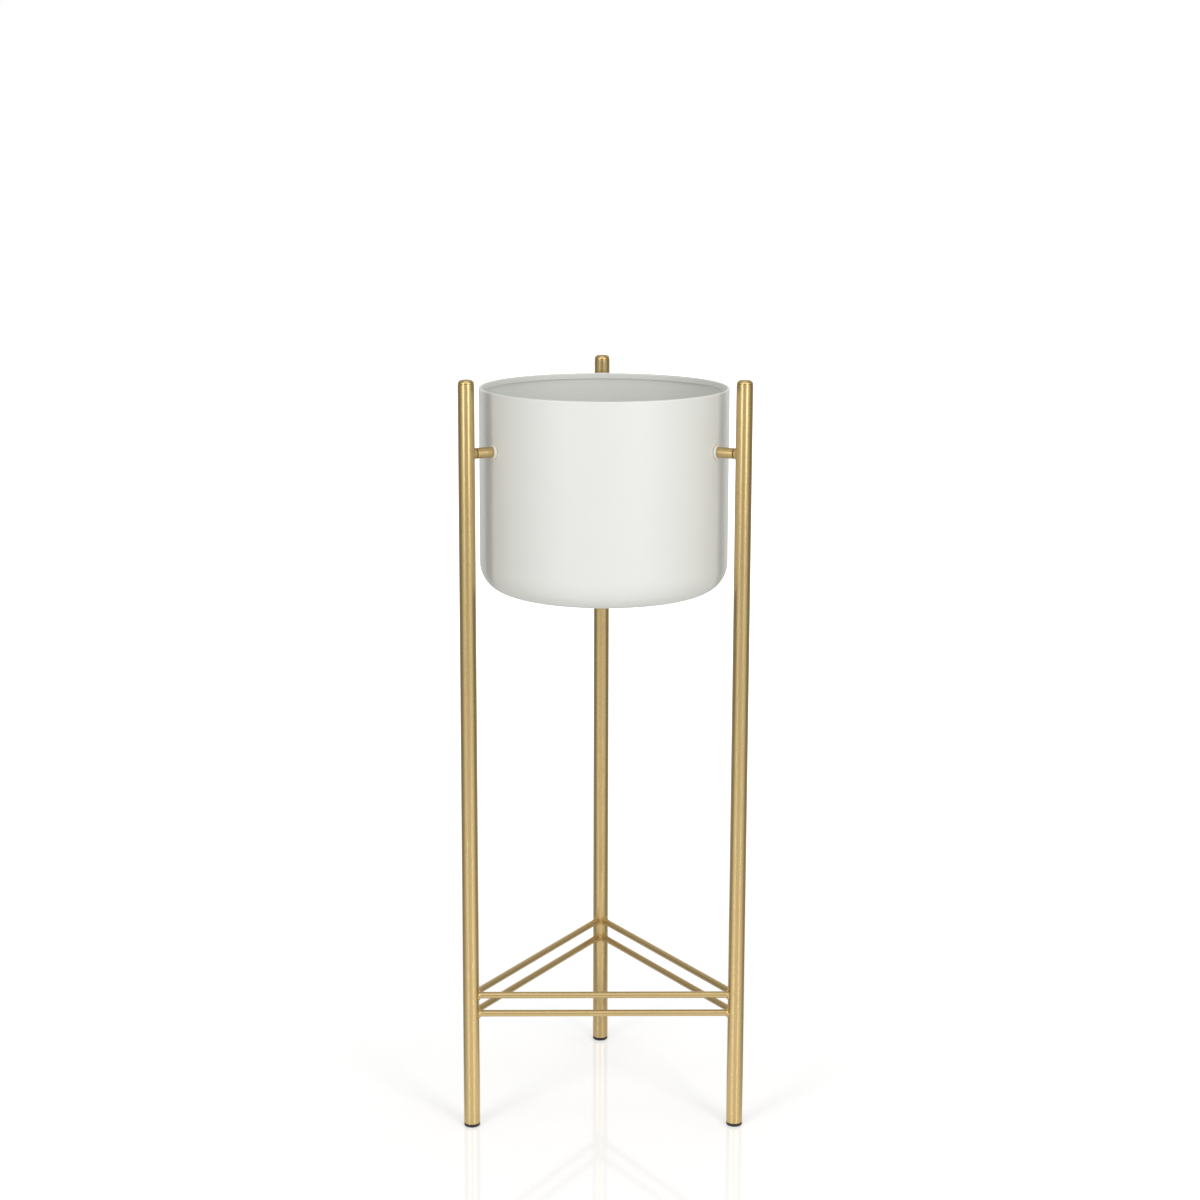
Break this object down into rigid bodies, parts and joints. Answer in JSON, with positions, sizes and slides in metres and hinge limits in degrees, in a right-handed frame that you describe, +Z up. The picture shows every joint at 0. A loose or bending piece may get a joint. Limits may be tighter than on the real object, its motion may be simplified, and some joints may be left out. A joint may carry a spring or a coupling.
{
  "type": "plant stand",
  "caption": "Tall plant stand: a round hemmed sheet-metal pot hung by screwed arms between upright tube posts, braced low down by two triangles of welded rod.",
  "frame": {"origin": "on the floor, under the middle of the stand's box", "axes": "+Z up; the two front posts face -Y and the single back post is towards +Y; +X to the right seen from the front"},
  "size_m": [0.279, 0.282, 0.75],
  "materials": {
    "gold_paint": "satin metallic gold",
    "white_paint": "satin off-white",
    "black_plastic": "moulded matt black",
    "nylon": "natural milky nylon",
    "screw_steel": "zinc-plated steel"
  },
  "bodies": {
    "root": {"pot": "white_paint", "post_back": "gold_paint", "post_cap_back": "gold_paint", "foot_plug_back": "black_plastic", "arm_boss_back": "gold_paint", "arm_sleeve_back": "gold_paint", "nylon_washer_back": "nylon", "steel_washer_back": "screw_steel", "pot_screw_back": "screw_steel", "post_front_left": "gold_paint", "post_cap_front_left": "gold_paint", "foot_plug_front_left": "black_plastic", "arm_boss_front_left": "gold_paint", "arm_sleeve_front_left": "gold_paint", "nylon_washer_front_left": "nylon", "steel_washer_front_left": "screw_steel", "pot_screw_front_left": "screw_steel", "post_front_right": "gold_paint", "post_cap_front_right": "gold_paint", "foot_plug_front_right": "black_plastic", "arm_boss_front_right": "gold_paint", "arm_sleeve_front_right": "gold_paint", "nylon_washer_front_right": "nylon", "steel_washer_front_right": "screw_steel", "pot_screw_front_right": "screw_steel", "rail_lower_front": "gold_paint", "rail_lower_left": "gold_paint", "rail_lower_right": "gold_paint", "rail_upper_front": "gold_paint", "rail_upper_left": "gold_paint", "rail_upper_right": "gold_paint"}
  },
  "joints": []
}
